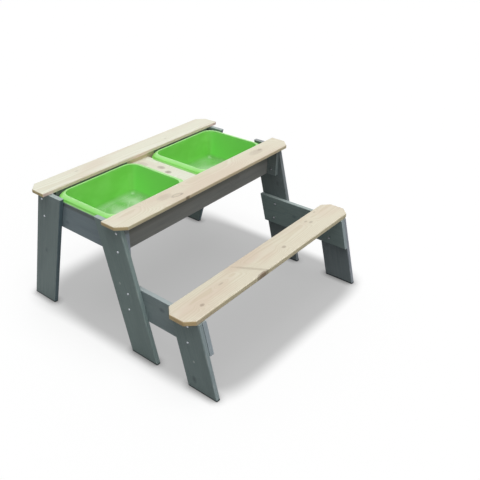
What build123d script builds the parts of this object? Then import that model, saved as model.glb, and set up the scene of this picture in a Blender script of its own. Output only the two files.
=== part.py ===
from build123d import *

import os
from math import cos, radians, tan

# A children's picnic table with two lift-out play tubs and one bench, in millimetres.
# X runs along the planks, -Y is the bench side and Z is up; the origin is on the floor at the
# middle of the outline. "left" is the -X end, "front" the bench side and "rear" the far side.

os.makedirs("parts", exist_ok=True)

# Boards
BOARD_THICKNESS = 18.0
BOARD_EDGE = 4.0
BOARD_END = 2.0
RAIL_EDGE = 2.0

# Slanted legs
LEG_WIDTH = 120.0
LEG_SPLAY = 15.3
LEG_HEIGHT = 497.0
END_SPAN = 894.0
LEG_OUTBOARD = 37.5

# Top planks
PLANK_OVERHANG = 23.0
PLANK_WIDTH = 94.0
PLANK_THICKNESS = 14.0
PLANK_GAP = 300.0
PLANK_CLIP = 33.0
PLANK_CORNER = 3.0
PLANK_EDGE = 3.0

# Rails and aprons under the top
APRON_HEIGHT = 121.0
APRON_SETBACK = 6.0
END_RAIL_DROP = 15.0
END_RAIL_HEIGHT = 106.0
END_RAIL_OUTBOARD = 42.0

# Board between the tubs
RIM_BEARING = 10.0
CENTRE_BOARD_THICKNESS = 14.0
CLEAT_SIZE = 18.0
CLEAT_MARGIN = 4.0

# Bench
BENCH_OFFSET = 268.0
BENCH_LEG_HEIGHT = 276.0
BENCH_RAIL_HEIGHT = 117.0
SEAT_OVERHANG = 34.0
SEAT_WIDTH = 118.0
SEAT_THICKNESS = 20.0
SEAT_CLIP = 30.0
SEAT_CORNER = 6.0
SEAT_EDGE = 4.0

# Moulded tubs
TUB_CLEAR = 1.0
TUB_GAP = 74.0
TUB_DEPTH = 120.0
TUB_WALL = 2.5
TUB_DRAFT = 9.0
RIM_HEIGHT = 15.0
RIM_END_WIDTH = 25.0
RIM_SIDE_WIDTH = 12.0
RIM_CORNER = 46.0
KNEE_RISE = 7.0
KNEE_LEAN = 0.22
CREST_WIDTH = 6.0
CREST_ROUND = 4.0
LIP_WIDTH = 1.5
LIP_HEIGHT = 2.0
MOUTH_CORNER = 40.0
MOUTH_ROUND = 2.0
FLOOR_ROUND = 20.0

# Through bolts with cap nuts
BOLT_DIAMETER = 6.0
BOLT_HOLE_PLAY = 0.4
BOLT_HEAD_DIAMETER = 8.5
BOLT_HEAD_HEIGHT = 2.2
BOLT_EDGE = 26.0
BOLT_TOP_EDGE = 11.0
BOLT_OUTBOARD = 20.0
NUT_WIDTH = 10.0
NUT_HEIGHT = 5.5
NUT_GRIP = 4.0
NUT_PLAY = 0.1

# Wood screws
SCREW_DIAMETER = 4.0
SCREW_HEAD_DIAMETER = 8.0
SCREW_HEAD_HEIGHT = 2.2
SCREW_HOLE_PLAY = 0.2
SCREW_COVER = 4.0
SCREW_HOLE_END = 1.0
APRON_SCREW_LENGTH = 50.0
APRON_SCREW_EDGE = 28.0
CLEAT_SCREW_EDGE = 16.0

# Angle brackets under the planks and the seat
BRACKET_LEAF = 30.0
BRACKET_WIDTH = 20.0
BRACKET_STEEL = 2.0
BRACKET_CORNER = 4.0
PLANK_BRACKET_X = 270.0
SEAT_BRACKET_SET_BACK = 24.0
SEAT_BRACKET_SPREAD = 36.0

# Places worked out from the sizes above
plank_length = END_SPAN + 2 * PLANK_OVERHANG
seat_length = END_SPAN + 2 * SEAT_OVERHANG
splay_run = tan(radians(LEG_SPLAY))
leg_cut = LEG_WIDTH / cos(radians(LEG_SPLAY))
table_y = BENCH_OFFSET / 2
apron_inner = PLANK_GAP / 2 + APRON_SETBACK
apron_outer = apron_inner + BOARD_THICKNESS
leg_top_reach = apron_outer + LEG_OUTBOARD
foot_reach = leg_top_reach + splay_run * LEG_HEIGHT
apron_bottom = LEG_HEIGHT - APRON_HEIGHT
end_rail_top = LEG_HEIGHT - END_RAIL_DROP
end_rail_bottom = end_rail_top - END_RAIL_HEIGHT
bench_rail_bottom = BENCH_LEG_HEIGHT - BENCH_RAIL_HEIGHT
leg_inner_x = END_SPAN / 2 - BOARD_THICKNESS
rail_inner_x = leg_inner_x - BOARD_THICKNESS
apron_length = 2 * rail_inner_x
centre_board_width = TUB_GAP + 2 * RIM_BEARING
centre_board_bottom = end_rail_top - CENTRE_BOARD_THICKNESS
bolt_hole = BOLT_DIAMETER + BOLT_HOLE_PLAY
screw_hole = SCREW_DIAMETER + SCREW_HOLE_PLAY
sides = {"front": -1, "rear": 1}
ends = {"left": -1, "right": 1}


def front_edge(z, set_in=0.0):
    """Y of the front leg's outer edge at height z, or of a line set in from it."""
    return table_y - leg_top_reach - splay_run * (LEG_HEIGHT - z) + set_in


def bench_edge(z, set_in=0.0):
    """Y of the bench leg's outer edge at height z, or of a line set in from it."""
    return front_edge(z, set_in) - BENCH_OFFSET


def face_at(x, y, z, direction):
    """A plane on a board's face, looking out along direction."""
    return Plane(origin=(x, y, z), z_dir=direction)


# Bolt places seen along X: heights on each rail, and the leg's middle at the rail's middle
bench_rail_middle = BENCH_LEG_HEIGHT - BENCH_RAIL_HEIGHT / 2
bench_bolt_heights = (BENCH_LEG_HEIGHT - BOLT_EDGE, bench_rail_bottom + BOLT_EDGE)
end_bolt_heights = (end_rail_top - BOLT_TOP_EDGE, end_rail_bottom + BOLT_EDGE)
end_bolts = {
    side: [(table_y + way * (apron_outer + BOLT_OUTBOARD), z) for z in end_bolt_heights]
    for side, way in sides.items()
}
front_bench_bolts = [(front_edge(bench_rail_middle, leg_cut / 2), z) for z in bench_bolt_heights]
bench_bolts = [(bench_edge(bench_rail_middle, leg_cut / 2), z) for z in bench_bolt_heights]
all_bolts = end_bolts["front"] + end_bolts["rear"] + front_bench_bolts + bench_bolts

# Screw places on the end rails, where the aprons butt against them
apron_middle = (apron_inner + apron_outer) / 2
apron_screw_heights = (end_rail_top - APRON_SCREW_EDGE, end_rail_bottom + APRON_SCREW_EDGE)
apron_screws_yz = [
    (table_y + way * apron_middle, z) for way in sides.values() for z in apron_screw_heights
]
apron_hole = APRON_SCREW_LENGTH - BOARD_THICKNESS + SCREW_HOLE_END

# One length of screw fits every bracket and another every cleat, set by the thinnest board
bracket_screw_length = BRACKET_STEEL + PLANK_THICKNESS - SCREW_COVER
bracket_hole = bracket_screw_length - BRACKET_STEEL + SCREW_HOLE_END
cleat_screw_length = CLEAT_SIZE + CENTRE_BOARD_THICKNESS - SCREW_COVER
cleat_hole = cleat_screw_length - CLEAT_SIZE + SCREW_HOLE_END


def save(piece, name):
    """Label a finished piece and write it to its own file."""
    piece.part.label = name
    export_step(piece.part, f"parts/{name}.step")


def drill_along_x(start_x, holes_yz):
    """Cut bolt holes through a board that starts at start_x."""
    with BuildSketch(Plane.YZ.offset(start_x)) as holes:
        with Locations(*holes_yz):
            Circle(bolt_hole / 2)
    extrude(holes.sketch, amount=BOARD_THICKNESS, mode=Mode.SUBTRACT)


def slanted_edges(piece):
    """The long edges of a board that stands or slants in an end frame."""
    return piece.edges().filter_by(lambda edge: abs(edge.tangent_at(0.5).Z) > 0.5)


# Legs: parallelogram boards cut level at the floor and at the top
def make_leg(name, start_x, foot_y, outward, height, bolts):
    """One leg; outward is -1 where the foot leans to the bench side, 1 to the rear."""
    top_y = foot_y - outward * splay_run * height
    width = -outward * leg_cut
    with BuildPart() as leg:
        with BuildSketch(Plane.YZ.offset(start_x)):
            with BuildLine():
                Polyline(
                    (foot_y, 0),
                    (top_y, height),
                    (top_y + width, height),
                    (foot_y + width, 0),
                    close=True,
                )
            make_face()
        extrude(amount=BOARD_THICKNESS)
        fillet(slanted_edges(leg), BOARD_EDGE)
        chamfer(leg.edges().group_by(Axis.Z)[0], BOARD_END)
        drill_along_x(start_x, bolts)
    save(leg, name)


for end, along in ends.items():
    leg_start = min(along * leg_inner_x, along * END_SPAN / 2)
    front_holes = end_bolts["front"] + front_bench_bolts
    make_leg(f"{end}_front_leg", leg_start, front_edge(0), -1, LEG_HEIGHT, front_holes)
    make_leg(f"{end}_rear_leg", leg_start, table_y + foot_reach, 1, LEG_HEIGHT, end_bolts["rear"])
    make_leg(f"{end}_bench_leg", leg_start, bench_edge(0), -1, BENCH_LEG_HEIGHT, bench_bolts)


# End rails: bolted to the inner faces of the legs, countersunk for the apron screws
for end, along in ends.items():
    rail_start = min(along * leg_inner_x, along * rail_inner_x)
    with BuildPart() as end_rail:
        with BuildSketch(Plane.YZ.offset(rail_start)):
            with Locations((table_y, (end_rail_top + end_rail_bottom) / 2)):
                Rectangle(2 * (apron_outer + END_RAIL_OUTBOARD), END_RAIL_HEIGHT)
        extrude(amount=BOARD_THICKNESS)
        fillet(end_rail.edges().filter_by(Axis.Y), RAIL_EDGE)
        drill_along_x(rail_start, end_bolts["front"] + end_bolts["rear"])
        with Locations(*[face_at(along * leg_inner_x, y, z, (along, 0, 0)) for y, z in apron_screws_yz]):
            CounterSinkHole(screw_hole / 2, (SCREW_HEAD_DIAMETER + SCREW_HOLE_PLAY) / 2, BOARD_THICKNESS)
    save(end_rail, f"{end}_end_rail")


# Aprons: long boards under the planks, between the end rails
plank_bracket_xs = (-PLANK_BRACKET_X, PLANK_BRACKET_X)
bracket_screw_offset = (BRACKET_LEAF + BRACKET_STEEL) / 2
apron_bracket_z = LEG_HEIGHT - bracket_screw_offset
cleat_length = centre_board_width - 2 * CLEAT_MARGIN
cleat_screw_x = cleat_length / 2 - CLEAT_SCREW_EDGE
cleat_screw_xs = (-cleat_screw_x, cleat_screw_x)
cleat_middle_z = centre_board_bottom - CLEAT_SIZE / 2
for side, way in sides.items():
    apron_y = table_y + way * apron_middle
    inner_y = table_y + way * apron_inner
    outer_y = table_y + way * apron_outer
    with BuildPart() as apron:
        with Locations((0, apron_y, (LEG_HEIGHT + apron_bottom) / 2)):
            Box(apron_length, BOARD_THICKNESS, APRON_HEIGHT)
        fillet(apron.edges().filter_by(Axis.X), RAIL_EDGE)
        end_grain = [
            face_at(along * rail_inner_x, apron_y, z, (along, 0, 0))
            for along in ends.values()
            for z in apron_screw_heights
        ]
        with Locations(*end_grain):
            Hole(screw_hole / 2, apron_hole)
        with Locations(*[face_at(x, outer_y, apron_bracket_z, (0, way, 0)) for x in plank_bracket_xs]):
            Hole(screw_hole / 2, bracket_hole)
        with Locations(*[face_at(x, inner_y, cleat_middle_z, (0, -way, 0)) for x in cleat_screw_xs]):
            Hole(screw_hole / 2, cleat_hole)
    save(apron, f"{side}_apron")


# Top planks: only the outer corners are clipped
for side, way in sides.items():
    plank_y = table_y + way * (PLANK_GAP + PLANK_WIDTH) / 2
    plank_screw_y = table_y + way * (apron_outer + bracket_screw_offset)
    with BuildPart() as plank:
        with BuildSketch(Plane.XY.offset(LEG_HEIGHT)):
            with Locations((0, plank_y)):
                outline = Rectangle(plank_length, PLANK_WIDTH)
            outer_corners = outline.vertices().sort_by(lambda corner: way * corner.Y)[-2:]
            chamfer(outer_corners, PLANK_CLIP)
        extrude(amount=PLANK_THICKNESS)
        fillet(plank.edges().filter_by(Axis.Z), PLANK_CORNER)
        fillet(plank.edges().group_by(Axis.Z)[0] + plank.edges().group_by(Axis.Z)[-1], PLANK_EDGE)
        with Locations(*[face_at(x, plank_screw_y, LEG_HEIGHT, (0, 0, -1)) for x in plank_bracket_xs]):
            Hole(screw_hole / 2, bracket_hole)
    save(plank, f"{side}_top_plank")


# Centre board: flat between the tubs, level with the end rails, carried on two cleats
cleat_inner = apron_inner - CLEAT_SIZE
board_screw_y = apron_inner - CLEAT_SIZE / 2
board_screw_ys = [table_y + way * board_screw_y for way in sides.values()]
with BuildPart() as centre_board:
    with Locations((0, table_y, (end_rail_top + centre_board_bottom) / 2)):
        Box(centre_board_width, 2 * apron_inner, CENTRE_BOARD_THICKNESS)
    fillet(centre_board.edges().filter_by(Axis.Y), RAIL_EDGE)
    with Locations(*[face_at(0, y, centre_board_bottom, (0, 0, -1)) for y in board_screw_ys]):
        Hole(screw_hole / 2, cleat_hole)
save(centre_board, "centre_board")

for side, way in sides.items():
    cleat_y = table_y + way * board_screw_y
    with BuildPart() as cleat:
        with Locations((0, cleat_y, cleat_middle_z)):
            Box(cleat_length, CLEAT_SIZE, CLEAT_SIZE)
        fillet(cleat.edges().filter_by(Axis.X), RAIL_EDGE)
        with Locations(face_at(0, cleat_y, centre_board_bottom - CLEAT_SIZE, (0, 0, -1))):
            Hole(screw_hole / 2, CLEAT_SIZE)
        cleat_face_y = table_y + way * cleat_inner
        with Locations(*[face_at(x, cleat_face_y, cleat_middle_z, (0, -way, 0)) for x in cleat_screw_xs]):
            Hole(screw_hole / 2, CLEAT_SIZE)
    save(cleat, f"{side}_board_cleat")


# Bench rails: parallelogram boards from the front leg's inner edge to the bench leg's outer edge
seat_y = bench_edge(BENCH_LEG_HEIGHT, leg_cut / 2)
seat_bracket_y = seat_y + SEAT_BRACKET_SET_BACK
seat_bracket_ys = (seat_bracket_y - SEAT_BRACKET_SPREAD / 2, seat_bracket_y + SEAT_BRACKET_SPREAD / 2)
seat_bracket_z = BENCH_LEG_HEIGHT - bracket_screw_offset
for end, along in ends.items():
    rail_start = min(along * leg_inner_x, along * rail_inner_x)
    with BuildPart() as bench_rail:
        with BuildSketch(Plane.YZ.offset(rail_start)):
            with BuildLine():
                Polyline(
                    (front_edge(BENCH_LEG_HEIGHT, leg_cut), BENCH_LEG_HEIGHT),
                    (bench_edge(BENCH_LEG_HEIGHT), BENCH_LEG_HEIGHT),
                    (bench_edge(bench_rail_bottom), bench_rail_bottom),
                    (front_edge(bench_rail_bottom, leg_cut), bench_rail_bottom),
                    close=True,
                )
            make_face()
        extrude(amount=BOARD_THICKNESS)
        fillet(bench_rail.edges().filter_by(Axis.Y), RAIL_EDGE)
        drill_along_x(rail_start, front_bench_bolts + bench_bolts)
        inner_x = along * rail_inner_x
        with Locations(*[face_at(inner_x, y, seat_bracket_z, (-along, 0, 0)) for y in seat_bracket_ys]):
            Hole(screw_hole / 2, bracket_hole)
    save(bench_rail, f"{end}_bench_rail")


# Bench seat: one plank with all four corners clipped
seat_screw_x = rail_inner_x - bracket_screw_offset
with BuildPart() as bench_seat:
    with BuildSketch(Plane.XY.offset(BENCH_LEG_HEIGHT)):
        with Locations((0, seat_y)):
            seat_outline = Rectangle(seat_length, SEAT_WIDTH)
        chamfer(seat_outline.vertices(), SEAT_CLIP)
    extrude(amount=SEAT_THICKNESS)
    fillet(bench_seat.edges().filter_by(Axis.Z), SEAT_CORNER)
    fillet(bench_seat.edges().group_by(Axis.Z)[0] + bench_seat.edges().group_by(Axis.Z)[-1], SEAT_EDGE)
    with Locations(*[
        face_at(along * seat_screw_x, y, BENCH_LEG_HEIGHT, (0, 0, -1))
        for along in ends.values()
        for y in seat_bracket_ys
    ]):
        Hole(screw_hole / 2, bracket_hole)
save(bench_seat, "bench_seat")


# Tubs: one moulded shell each, with a hollow sloped rim on the end rail and the centre board
tub_length = leg_inner_x - TUB_CLEAR - TUB_GAP / 2
tub_width = PLANK_GAP - 2 * TUB_CLEAR
rim_top = end_rail_top + RIM_HEIGHT
lip_top = end_rail_top + LIP_HEIGHT
knee_top = lip_top + KNEE_RISE
mouth_length = tub_length - 2 * RIM_END_WIDTH
mouth_width = tub_width - 2 * RIM_SIDE_WIDTH


def basin(centre, grow, depth):
    """A solid basin hung from the rim's top, with drafted sides and a rounded floor edge."""
    mouth = Plane(origin=(*centre, rim_top), z_dir=(0, 0, -1))
    with BuildPart() as body:
        with BuildSketch(mouth):
            RectangleRounded(mouth_length + 2 * grow, mouth_width + 2 * grow, MOUTH_CORNER + grow)
        extrude(amount=depth, taper=TUB_DRAFT)
        fillet(body.edges().group_by(Axis.Z)[0], FLOOR_ROUND + grow)
    return body.part


def shoulder(centre, low_z, inset, knee_z, high_z, crest):
    """A block that is steep above the lip and eases over at a knee to a narrow crest."""
    low = (tub_length - 2 * inset, tub_width - 2 * inset, RIM_CORNER - inset)
    high = (mouth_length + 2 * crest, mouth_width + 2 * crest, MOUTH_CORNER + crest)
    knee = [start + KNEE_LEAN * (stop - start) for start, stop in zip(low, high)]
    with BuildPart() as slope:
        for z, size in ((low_z, low), (knee_z, knee), (high_z, high)):
            with BuildSketch(Plane(origin=(*centre, z))):
                RectangleRounded(*size)
        loft(ruled=True)
    return slope.part


for end, along in ends.items():
    tub_centre = (along * (TUB_GAP + tub_length) / 2, table_y)
    outside = basin(tub_centre, TUB_WALL, TUB_DEPTH)
    inside = basin(tub_centre, 0, TUB_DEPTH - TUB_WALL)
    rim = shoulder(tub_centre, lip_top, LIP_WIDTH, knee_top, rim_top, CREST_WIDTH)
    hollow = shoulder(
        tub_centre, end_rail_top, LIP_WIDTH + TUB_WALL, knee_top - TUB_WALL, rim_top - TUB_WALL, TUB_WALL
    )
    with BuildPart() as tub:
        add(rim)
        fillet(tub.edges().group_by(Axis.Z)[-1], CREST_ROUND)
        with BuildSketch(Plane(origin=(*tub_centre, end_rail_top))):
            RectangleRounded(tub_length, tub_width, RIM_CORNER)
        extrude(amount=LIP_HEIGHT)
        add(hollow, mode=Mode.SUBTRACT)
        add(outside)
        add(inside, mode=Mode.SUBTRACT)
        fillet(tub.faces().sort_by(Axis.Z)[-1].inner_wires()[0].edges(), MOUTH_ROUND)
    save(tub, f"{end}_tub")


# Fasteners: one solid of each kind is turned, then set at every place
def turned(profile):
    """Revolve a closed half profile, radius first and height second, about the upright axis."""
    with BuildPart() as piece:
        with BuildSketch(Plane.XZ):
            with BuildLine():
                Polyline(*profile, close=True)
            make_face()
        revolve(axis=Axis.Z)
    return piece.part


def set_out(name, solid, places):
    """Copy one fastener to all its places and save them as one group."""
    with BuildPart() as group:
        with Locations(*places):
            add(solid)
    save(group, name)


def countersunk_screw(length):
    """A flat-headed wood screw, its head's face at the origin."""
    head, shank = SCREW_HEAD_DIAMETER / 2, SCREW_DIAMETER / 2
    return turned([(0, 0), (head, 0), (shank, shank - head), (shank, -length), (0, -length)])


def raised_head_fastener(head_diameter, head_height, shank_diameter, length):
    """A bolt or screw with a low coned head, the underside of the head at the origin."""
    head, shank = head_diameter / 2, shank_diameter / 2
    crown = head - head_height
    return turned([
        (0, head_height),
        (crown, head_height),
        (head, 0),
        (shank, 0),
        (shank, -length),
        (0, -length),
    ])


def pan_screw(length):
    """A round-headed wood screw for the brackets and cleats."""
    return raised_head_fastener(SCREW_HEAD_DIAMETER, SCREW_HEAD_HEIGHT, SCREW_DIAMETER, length)


bolt_length = 2 * BOARD_THICKNESS + NUT_GRIP
through_bolt = raised_head_fastener(BOLT_HEAD_DIAMETER, BOLT_HEAD_HEIGHT, BOLT_DIAMETER, bolt_length)

with BuildPart() as cap_nut:
    with BuildSketch(Plane.XY):
        RegularPolygon(NUT_WIDTH / 2, 6, major_radius=False)
    extrude(amount=NUT_HEIGHT)
    with Locations(face_at(0, 0, 0, (0, 0, -1))):
        Hole((BOLT_DIAMETER + NUT_PLAY) / 2, NUT_GRIP + NUT_PLAY)
set_out("leg_bolts", through_bolt, [
    face_at(along * END_SPAN / 2, y, z, (along, 0, 0)) for along in ends.values() for y, z in all_bolts
])
set_out("leg_bolt_nuts", cap_nut.part, [
    face_at(along * rail_inner_x, y, z, (-along, 0, 0)) for along in ends.values() for y, z in all_bolts
])
set_out("apron_screws", countersunk_screw(APRON_SCREW_LENGTH), [
    face_at(along * leg_inner_x, y, z, (along, 0, 0)) for along in ends.values() for y, z in apron_screws_yz
])


# Angle brackets: two under each plank on the aprons, two under each end of the seat
def angle_bracket(along_face, across, width_axis):
    """One bent bracket, its corner at the origin and its leaves along two directions."""
    corner = Plane(origin=(0, 0, 0), x_dir=along_face, z_dir=width_axis)
    with BuildPart() as bracket:
        with BuildSketch(corner):
            with BuildLine():
                Polyline(
                    (0, 0),
                    (BRACKET_LEAF, 0),
                    (BRACKET_LEAF, across * BRACKET_STEEL),
                    (BRACKET_STEEL, across * BRACKET_STEEL),
                    (BRACKET_STEEL, across * BRACKET_LEAF),
                    (0, across * BRACKET_LEAF),
                    close=True,
                )
            make_face()
        extrude(amount=BRACKET_WIDTH / 2, both=True)
        leaf_ends = bracket.edges().filter_by(
            lambda edge: abs(edge.length - BRACKET_STEEL) < BRACKET_STEEL / 10
        )
        chamfer(leaf_ends, BRACKET_CORNER)
        level_hole = corner.from_local_coords(Vector(bracket_screw_offset, 0, 0))
        upright_hole = corner.from_local_coords(Vector(0, across * bracket_screw_offset, 0))
        with Locations(
            Plane(origin=level_hole, z_dir=corner.y_dir),
            Plane(origin=upright_hole, z_dir=corner.x_dir),
        ):
            Hole(screw_hole / 2)
    return bracket.part


plank_bracket_places = {
    way: [(x, table_y + way * apron_outer, LEG_HEIGHT) for x in plank_bracket_xs]
    for way in sides.values()
}
seat_bracket_places = {
    along: [(along * rail_inner_x, y, BENCH_LEG_HEIGHT) for y in seat_bracket_ys] for along in ends.values()
}
bent_under_plank = {way: angle_bracket((0, way, 0), -way, (1, 0, 0)) for way in sides.values()}
bent_under_seat = {along: angle_bracket((-along, 0, 0), -along, (0, 1, 0)) for along in ends.values()}
with BuildPart() as plank_brackets:
    for way, places in plank_bracket_places.items():
        with Locations(*places):
            add(bent_under_plank[way])
save(plank_brackets, "plank_brackets")
with BuildPart() as seat_brackets:
    for along, places in seat_bracket_places.items():
        with Locations(*places):
            add(bent_under_seat[along])
save(seat_brackets, "seat_brackets")


# Bracket screws: one through each leaf, their heads on the leaf's open face
def two_leaf_screws(corner, out_x, out_y):
    """Screw places on a bracket whose level leaf points out along X or Y from its corner."""
    x, y, z = corner
    flat = (x + out_x * bracket_screw_offset, y + out_y * bracket_screw_offset, z - BRACKET_STEEL)
    upright = (x + out_x * BRACKET_STEEL, y + out_y * BRACKET_STEEL, z - bracket_screw_offset)
    return [face_at(*flat, (0, 0, -1)), face_at(*upright, (out_x, out_y, 0))]


bracket_screw_places = []
for way, places in plank_bracket_places.items():
    for place in places:
        bracket_screw_places += two_leaf_screws(place, 0, way)
for along, places in seat_bracket_places.items():
    for place in places:
        bracket_screw_places += two_leaf_screws(place, -along, 0)
set_out("bracket_screws", pan_screw(bracket_screw_length), bracket_screw_places)

cleat_screw_places = []
for way in sides.values():
    board_y = table_y + way * board_screw_y
    cleat_screw_places.append(face_at(0, board_y, centre_board_bottom - CLEAT_SIZE, (0, 0, -1)))
    for x in cleat_screw_xs:
        cleat_screw_places.append(face_at(x, table_y + way * cleat_inner, cleat_middle_z, (0, -way, 0)))
set_out("cleat_screws", pan_screw(cleat_screw_length), cleat_screw_places)
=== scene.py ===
"""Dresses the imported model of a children's sand and water picnic table for its picture.

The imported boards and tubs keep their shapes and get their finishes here: pale knotty softwood,
grey stained boards, green moulded tubs and zinc-plated fixings. The bolts, nuts and screws are
modelled again with their sockets, flats and crosses, and ride on the table's frame.
"""

from __future__ import annotations

import logging
import math
from collections.abc import Callable
from dataclasses import dataclass, field
from enum import Enum

import bpy
from bpy.types import Material, Node, NodeSocket, NodeTree, Object
from mathutils import Matrix, Vector

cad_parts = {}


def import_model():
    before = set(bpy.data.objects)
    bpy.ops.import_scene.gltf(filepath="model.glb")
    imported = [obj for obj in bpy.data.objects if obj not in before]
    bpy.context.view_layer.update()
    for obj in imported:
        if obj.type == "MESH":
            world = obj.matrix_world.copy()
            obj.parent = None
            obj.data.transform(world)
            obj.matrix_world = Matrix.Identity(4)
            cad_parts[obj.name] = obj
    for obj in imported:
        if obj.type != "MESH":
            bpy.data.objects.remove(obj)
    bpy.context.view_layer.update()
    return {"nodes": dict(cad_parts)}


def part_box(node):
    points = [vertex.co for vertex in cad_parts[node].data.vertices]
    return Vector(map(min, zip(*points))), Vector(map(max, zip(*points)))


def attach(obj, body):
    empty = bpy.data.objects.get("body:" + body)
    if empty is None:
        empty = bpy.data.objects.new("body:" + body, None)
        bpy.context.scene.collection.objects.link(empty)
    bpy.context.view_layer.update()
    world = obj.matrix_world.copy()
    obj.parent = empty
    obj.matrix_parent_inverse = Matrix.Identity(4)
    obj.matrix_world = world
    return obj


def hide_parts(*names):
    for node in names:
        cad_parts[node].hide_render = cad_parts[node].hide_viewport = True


LOG = logging.getLogger("picnic_table")

Colour = tuple[float, float, float, float]
Triple = tuple[float, float, float]
Pair = tuple[float, float]
Feed = NodeSocket | float | Triple | Colour
Sockets = dict[str, NodeSocket]


def srgb(red: int, green: int, blue: int) -> Colour:
    """Turn a colour as seen on screen into the linear one that a shader takes.

    Args:
        red: Red, 0 to 255.
        green: Green, 0 to 255.
        blue: Blue, 0 to 255.

    Returns:
        The linear colour with an alpha of one.
    """
    parts = []
    for value in (red, green, blue):
        share = value / 255
        # The screen's curve is straight near black and a power above that
        parts.append(share / 12.92 if share <= 0.04045 else ((share + 0.055) / 1.055) ** 2.4)
    return (*parts, 1.0)


def grey(value: float) -> Colour:
    """A linear grey."""
    return (value, value, value, 1.0)


def way_to_sky(azimuth: float, elevation: float) -> Vector:
    """Point from the table to a place in the sky.

    Args:
        azimuth: Degrees round the table, zero at the bench side and negative towards the left end.
        elevation: Degrees above the floor.

    Returns:
        The way there, as a unit vector.
    """
    turn, climb = math.radians(azimuth), math.radians(elevation)
    return Vector((math.sin(turn) * math.cos(climb), -math.cos(turn) * math.cos(climb), math.sin(climb)))


class ShaderSheet:
    """Adds and joins the nodes of one node tree."""

    NOISE_MIDDLE = 0.5

    def __init__(self, tree: NodeTree) -> None:
        """Keep the tree that the nodes go into."""
        self.tree = tree

    def node(self, kind: str, **settings: object) -> Node:
        """Add a node.

        Args:
            kind: The node's type name.
            **settings: Properties to set on the node.

        Returns:
            The new node.
        """
        made = self.tree.nodes.new(kind)
        for name, value in settings.items():
            setattr(made, name, value)
        return made

    def feed(self, socket: NodeSocket, value: Feed) -> None:
        """Link a socket to another one, or set its value.

        Args:
            socket: The socket to feed.
            value: Another node's socket, or a plain value.
        """
        if isinstance(value, NodeSocket):
            self.tree.links.new(value, socket)
        else:
            socket.default_value = value

    def math(self, operation: str, first: Feed, second: Feed = 0.0, clamp: bool = False) -> NodeSocket:
        """Work out one number from two.

        Args:
            operation: The Math node's operation.
            first: First number.
            second: Second number.
            clamp: Whether the result stays between zero and one.

        Returns:
            The socket that holds the result.
        """
        made = self.node("ShaderNodeMath", operation=operation, use_clamp=clamp)
        self.feed(made.inputs[0], first)
        self.feed(made.inputs[1], second)
        return made.outputs[0]

    def times(self, first: Feed, second: Feed) -> NodeSocket:
        """The product of two numbers."""
        return self.math("MULTIPLY", first, second)

    def plus(self, first: Feed, second: Feed) -> NodeSocket:
        """The sum of two numbers."""
        return self.math("ADD", first, second)

    def minus(self, first: Feed, second: Feed) -> NodeSocket:
        """The first number less the second."""
        return self.math("SUBTRACT", first, second)

    def over(self, first: Feed, second: Feed) -> NodeSocket:
        """The first number divided by the second."""
        return self.math("DIVIDE", first, second)

    def most(self, first: Feed, second: Feed) -> NodeSocket:
        """The larger of two numbers."""
        return self.math("MAXIMUM", first, second)

    def unsigned(self, value: Feed) -> NodeSocket:
        """A number without its sign."""
        return self.math("ABSOLUTE", value)

    def squares(self, first: Feed, second: Feed) -> NodeSocket:
        """The sum of two numbers' squares."""
        return self.plus(self.times(first, first), self.times(second, second))

    def line(self, value: Feed, slope: float, start: float) -> NodeSocket:
        """Work out start plus slope times a number.

        Args:
            value: The number.
            slope: What it is multiplied by.
            start: What is added after that.

        Returns:
            The socket that holds the result.
        """
        made = self.math("MULTIPLY_ADD", value, slope)
        made.node.inputs[2].default_value = start
        return made

    def rise(self, value: Feed, low: float, high: float) -> NodeSocket:
        """Ease from zero at low to one at high.

        Args:
            value: The number to judge.
            low: Where the result leaves zero.
            high: Where the result reaches one.

        Returns:
            The socket that holds the share.
        """
        made = self.node("ShaderNodeMapRange", interpolation_type="SMOOTHSTEP")
        self.feed(made.inputs["Value"], value)
        made.inputs["From Min"].default_value = low
        made.inputs["From Max"].default_value = high
        return made.outputs["Result"]

    def vector(self, operation: str, first: Feed, second: Feed = (0.0, 0.0, 0.0)) -> NodeSocket:
        """Work out one vector, or a length, from two vectors.

        Args:
            operation: The Vector Math node's operation.
            first: First vector.
            second: Second vector.

        Returns:
            The socket that holds the result.
        """
        made = self.node("ShaderNodeVectorMath", operation=operation)
        self.feed(made.inputs[0], first)
        self.feed(made.inputs[1], second)
        return made.outputs["Value" if operation == "LENGTH" else "Vector"]

    def split(self, vector: Feed) -> Sockets:
        """Take a vector apart.

        Args:
            vector: The vector.

        Returns:
            Its parts by the names of their axes.
        """
        made = self.node("ShaderNodeSeparateXYZ")
        self.feed(made.inputs[0], vector)
        return {axis: made.outputs[axis] for axis in "XYZ"}

    def turned(self, place: Feed, angle: Feed) -> NodeSocket:
        """Turn a place about Z.

        Args:
            place: The place.
            angle: The turn in radians.

        Returns:
            The socket that holds the turned place.
        """
        made = self.node("ShaderNodeVectorRotate", rotation_type="Z_AXIS")
        self.feed(made.inputs["Vector"], place)
        self.feed(made.inputs["Angle"], angle)
        return made.outputs["Vector"]

    def spot(self) -> NodeSocket:
        """The place on the piece, in the table's own metres."""
        return self.node("ShaderNodeTexCoord").outputs["Object"]

    def facing(self) -> Sockets:
        """The parts of the way that the surface faces."""
        return self.split(self.node("ShaderNodeTexCoord").outputs["Normal"])

    def noise(self, place: Feed, stretch: Triple, detail: float = 2.0) -> NodeSocket:
        """Sample noise that is stretched along the axes.

        Args:
            place: Where to sample it.
            stretch: Waves per metre along each axis.
            detail: How many finer layers are added.

        Returns:
            The socket that holds the noise, about a half on average.
        """
        made = self.node("ShaderNodeTexNoise")
        self.feed(made.inputs["Vector"], self.vector("MULTIPLY", place, stretch))
        made.inputs["Scale"].default_value = 1.0
        made.inputs["Detail"].default_value = detail
        return made.outputs["Fac"]

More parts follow.
